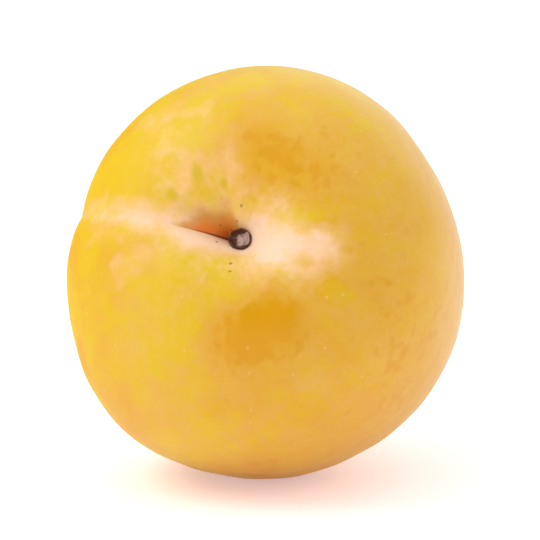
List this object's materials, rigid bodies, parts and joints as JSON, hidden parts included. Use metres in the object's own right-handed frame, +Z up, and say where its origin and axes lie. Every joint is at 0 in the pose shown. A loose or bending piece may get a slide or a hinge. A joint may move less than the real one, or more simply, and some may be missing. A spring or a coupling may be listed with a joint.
{
  "type": "plum",
  "caption": "Yellow dessert plum lying on one cheek, with a stem cavity, a suture groove, a small beak and the dry end of its stalk.",
  "frame": {"origin": "middle of the bounding box, in the plane of the flat spot that the fruit lies on", "axes": "+Z up; -Y is the side that the stem end faces, tipped up by 22 degrees; the suture runs down the -X side"},
  "size_m": [0.0444, 0.0492, 0.0472],
  "materials": {
    "skin": "satin, slightly waxy fruit skin",
    "dry_stalk": "dry and fibrous"
  },
  "bodies": {
    "root": {"fruit": "skin", "stalk_end": "dry_stalk"}
  },
  "joints": []
}
